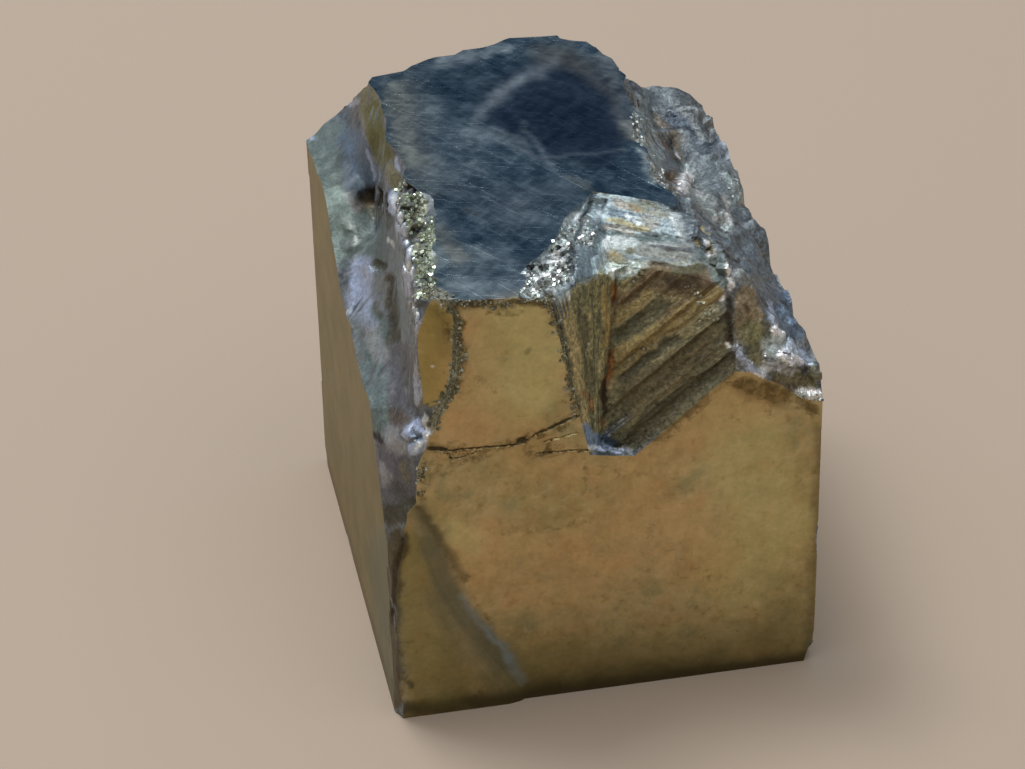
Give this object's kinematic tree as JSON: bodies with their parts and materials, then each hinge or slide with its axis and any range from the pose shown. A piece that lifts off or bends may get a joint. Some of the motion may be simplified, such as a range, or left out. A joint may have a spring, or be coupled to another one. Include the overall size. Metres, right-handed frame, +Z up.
{
  "type": "pyrite crystal",
  "caption": "Hand-sized natural pyrite cube with mirror-flat brassy faces, a broken upper left edge, a corner imprint in the front and a fractured upper right corner.",
  "frame": {"origin": "middle of the bounding box in plan, at the height of the base", "axes": "+Z up, the way the crystal rests; -Y is the front face with the corner imprint; +X to the right seen from the front"},
  "size_m": [0.03, 0.0344, 0.0342],
  "materials": {
    "pyrite": "natural crystal faces like a dull mirror, brassy gold; broken areas rough, silvery and sparkling"
  },
  "bodies": {
    "root": {"pyrite_crystal": "pyrite"}
  },
  "joints": []
}
